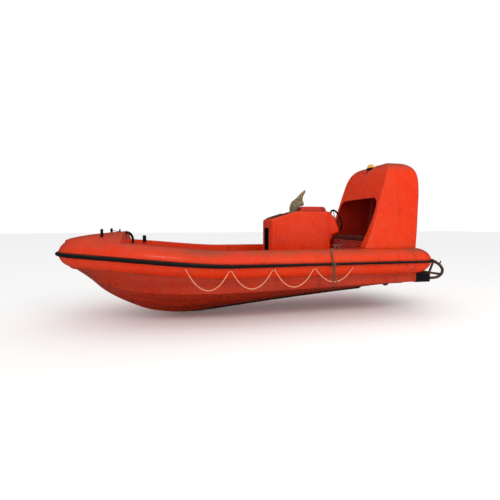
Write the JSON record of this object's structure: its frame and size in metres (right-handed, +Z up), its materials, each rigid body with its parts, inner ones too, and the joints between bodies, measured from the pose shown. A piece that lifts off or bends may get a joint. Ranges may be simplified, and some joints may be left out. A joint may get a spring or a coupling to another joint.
{
  "type": "open rigid rescue boat",
  "caption": "Open orange rescue boat: raised foam-filled collar with black fender, grab lines, helm console with wheel, stern shelter over the engine box and a waterjet",
  "frame": {"origin": "on the designed waterline, on the centreline, midway between the nose's skin and the transom", "axes": "+X aft along the keel, +Y to starboard, +Z up"},
  "size_m": [6.9135, 2.3639, 2.7664],
  "materials": {
    "orange_gelcoat": "glossy orange gelcoat",
    "red_gelcoat": "satin dark red gelcoat",
    "black_rubber": "matt black rubber",
    "black_steel": "black coated steel",
    "stainless": "weathered stainless",
    "cast_alloy": "dull cast alloy",
    "grey_engine": "grey engine paint",
    "seat_vinyl": "dark red upholstery",
    "olive_canvas": "weathered olive canvas",
    "amber_lens": "clear amber plastic",
    "orange_rope": "light orange laid rope",
    "olive_rope": "olive brown laid rope"
  },
  "bodies": {
    "boat": {"bow_hoop": "black_steel", "cleat_port": "stainless", "cleat_starboard": "stainless", "collar_bow": "orange_gelcoat", "collar_port": "orange_gelcoat", "collar_starboard": "orange_gelcoat", "console_shell": "orange_gelcoat", "engine_block": "grey_engine", "engine_box": "red_gelcoat", "fender_bow": "black_rubber", "fender_port": "black_rubber", "fender_starboard": "black_rubber", "foredeck": "orange_gelcoat", "grab_line_port": "orange_rope", "grab_line_starboard": "orange_rope", "guard_bar_lower": "black_steel", "guard_bar_upper": "black_steel", "guard_hoop_port": "black_steel", "guard_hoop_starboard": "black_steel", "hood_shell": "orange_gelcoat", "hull_bottom": "orange_gelcoat", "instrument_pod": "red_gelcoat", "jet_housing": "cast_alloy", "keel_skeg": "black_rubber", "lamp_cover": "olive_canvas", "lamp_foot": "black_rubber", "lamp_lens": "amber_lens", "mooring_post_port": "black_steel", "mooring_post_starboard": "black_steel", "mooring_rope": "olive_rope", "mooring_tail": "olive_rope", "steering_column": "black_steel", "stern_step_port": "black_rubber", "stern_step_starboard": "black_rubber", "throttle_box": "black_steel", "tow_post": "black_steel", "transom_board": "orange_gelcoat"},
    "helm": {"steering_wheel": "black_rubber"},
    "nozzle": {"jet_nozzle": "cast_alloy"},
    "bucket": {"jet_bucket": "black_steel"},
    "lid": {"engine_lid": "red_gelcoat", "seat_pad": "seat_vinyl"}
  },
  "joints": [
    {"name": "steering_turn", "type": "hinge", "parent": "boat", "child": "helm", "pos_m": [1.885, 0, 1.225], "axis": [0.9409, 0, 0.3387], "range_deg": [-405, 405]},
    {"name": "nozzle_steer", "type": "hinge", "parent": "boat", "child": "nozzle", "pos_m": [3.36, 0, 0.06], "axis": [0, 0, 1], "range_deg": [-27, 27]},
    {"name": "bucket_tilt", "type": "hinge", "parent": "nozzle", "child": "bucket", "pos_m": [3.36, 0, 0.06], "axis": [0, 1, 0], "range_deg": [0, 55]},
    {"name": "lid_hinge", "type": "hinge", "parent": "boat", "child": "lid", "pos_m": [2.89, 0, 0.8003], "axis": [0, 1, 0], "range_deg": [0, 45]}
  ],
  "couplings": [
    {"joint": "steering_turn", "follows": "nozzle_steer", "ratio": 15}
  ]
}
